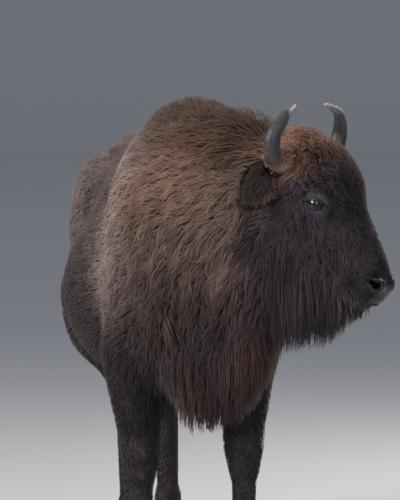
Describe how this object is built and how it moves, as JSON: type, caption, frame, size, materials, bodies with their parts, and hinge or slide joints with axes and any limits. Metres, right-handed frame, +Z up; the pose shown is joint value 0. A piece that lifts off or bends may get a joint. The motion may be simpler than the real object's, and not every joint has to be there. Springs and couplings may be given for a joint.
{
  "type": "wisent",
  "caption": "Life-size still model of a wisent, an adult cow in thick brown winter coat, standing with her head turned to one side",
  "frame": {"origin": "centre of the bottom of the bounding box, on the floor under the animal", "axes": "+X ahead along the trunk, +Y to the animal's left, +Z up"},
  "size_m": [2.136, 0.8678, 1.6271],
  "materials": {
    "coat_body": "thick woolly winter coat, rust brown on the neck and hump, greyer on the back, matt",
    "coat_head": "short curly dark brown coat, rust on the crown, long straight hair under the jaw",
    "coat_legs": "short flat blackish brown coat",
    "coat_tail": "dark brown hair, long at the end",
    "ear": "dark skin with fringed short hair",
    "horn": "grey-black horn, lumpy and tan at the base, polished and pale at the tip",
    "eye": "wet dark brown eye",
    "claw": "dark hoof horn, faintly ringed, dull"
  },
  "bodies": {
    "root": {"trunk": "coat_body", "neck": "coat_body", "head": "coat_head", "tail": "coat_tail", "foreleg_left": "coat_legs", "foreleg_right": "coat_legs", "hindleg_left": "coat_legs", "hindleg_right": "coat_legs", "ear_left": "ear", "ear_right": "ear", "horn_left": "horn", "horn_right": "horn", "eye_left": "eye", "eye_right": "eye", "claw_fore_left_outer": "claw", "dewclaw_fore_left_outer": "claw", "claw_fore_left_inner": "claw", "dewclaw_fore_left_inner": "claw", "claw_fore_right_outer": "claw", "dewclaw_fore_right_outer": "claw", "claw_fore_right_inner": "claw", "dewclaw_fore_right_inner": "claw", "claw_hind_left_outer": "claw", "dewclaw_hind_left_outer": "claw", "claw_hind_left_inner": "claw", "dewclaw_hind_left_inner": "claw", "claw_hind_right_outer": "claw", "dewclaw_hind_right_outer": "claw", "claw_hind_right_inner": "claw", "dewclaw_hind_right_inner": "claw"}
  },
  "joints": []
}
